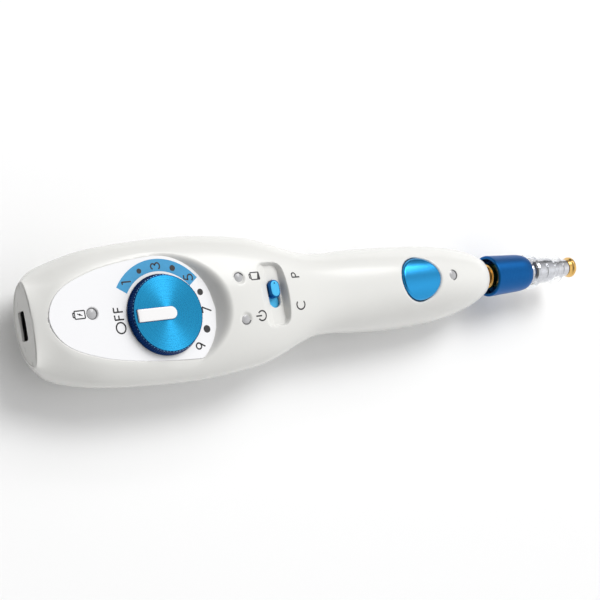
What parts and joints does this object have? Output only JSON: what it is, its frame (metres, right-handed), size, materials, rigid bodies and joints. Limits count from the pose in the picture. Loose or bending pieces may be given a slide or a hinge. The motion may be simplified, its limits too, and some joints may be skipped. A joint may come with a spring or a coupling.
{
  "type": "cordless pulse pen handpiece",
  "caption": "Cordless pen handpiece with a power dial, mode slider, trigger button, lock collar and plug-in clear tip with a gilt nozzle.",
  "frame": {"origin": "on the flat underside that the pen rests on, level with the dial and half way across the casing", "axes": "+X along the pen from the charging end to the tip, +Z out of the dial's face, +Y to the left when looking along +X"},
  "size_m": [0.2074, 0.042, 0.0273],
  "materials": {
    "white_gloss": "pearl white gloss",
    "face_white": "printed white satin",
    "blue_anodised": "brushed and anodised blue",
    "blue_satin": "satin blue anodised",
    "lens": "cloudy clear plastic",
    "clear": "clear moulded plastic",
    "chrome": "polished",
    "gold": "gilt brass",
    "steel": "plain",
    "board_green": "solder mask",
    "chip_black": "moulded",
    "cell_foil": "foil",
    "foam": "closed-cell foam",
    "copper": "enamelled copper wire",
    "wire_red": "insulation",
    "wire_black": "insulation",
    "wire_white": "insulation"
  },
  "bodies": {
    "body": {"upper_shell": "white_gloss", "lower_shell": "white_gloss", "face_plate": "face_white", "tail_plate": "white_gloss", "case_screw_1": "steel", "case_screw_2": "steel", "case_screw_3": "steel", "case_screw_4": "steel", "dial_switch": "chip_black", "slide_switch": "steel", "trigger_switch": "chip_black", "charge_light_guide": "lens", "battery_light_guide": "lens", "power_light_guide": "lens", "pulse_light_guide": "lens", "charge_led": "lens", "battery_led": "lens", "power_led": "lens", "pulse_led": "lens", "main_board": "board_green", "controller_chip": "chip_black", "charger_chip": "chip_black", "boost_coil": "copper", "pulse_transformer": "chip_black", "storage_capacitor": "cell_foil", "usb_socket": "steel", "usb_tongue": "chip_black", "battery_cell": "cell_foil", "battery_pad": "foam", "battery_lead_red": "wire_red", "battery_lead_black": "wire_black", "nose_bush": "chip_black", "brass_post": "gold", "insulator_sleeve": "wire_white", "contact_pin": "gold", "pulse_lead": "wire_white"},
    "dial": {"dial_knob": "blue_anodised", "dial_pointer": "white_gloss", "dial_shaft": "steel"},
    "slider": {"mode_slider": "blue_anodised", "switch_lever": "steel"},
    "button": {"button_cap": "blue_anodised", "trigger_plunger": "steel"},
    "collar": {"lock_collar": "blue_satin"},
    "tip": {"tip_housing": "clear", "tip_barrel": "chrome", "tip_tube": "chrome", "tip_nozzle": "gold", "needle_electrode": "steel"}
  },
  "joints": [
    {"name": "dial_turn", "type": "hinge", "parent": "body", "child": "dial", "pos_m": [0, -0.00206, 0.023], "axis": [0, 0, -1], "range_deg": [0, 225]},
    {"name": "mode_slide", "type": "slide", "parent": "body", "child": "slider", "axis": [0, -1, 0], "range_m": [0, 0.0028]},
    {"name": "button_press", "type": "slide", "parent": "body", "child": "button", "axis": [0, 0, -1], "range_m": [0, 0.0005], "stiffness_N_per_m": 400},
    {"name": "collar_turn", "type": "hinge", "parent": "body", "child": "collar", "pos_m": [0.137, 0, 0.0135], "axis": [1, 0, 0], "range_deg": [0, 90]},
    {"name": "tip_pull", "type": "slide", "parent": "body", "child": "tip", "axis": [1, 0, 0], "range_m": [0, 0.02]}
  ]
}
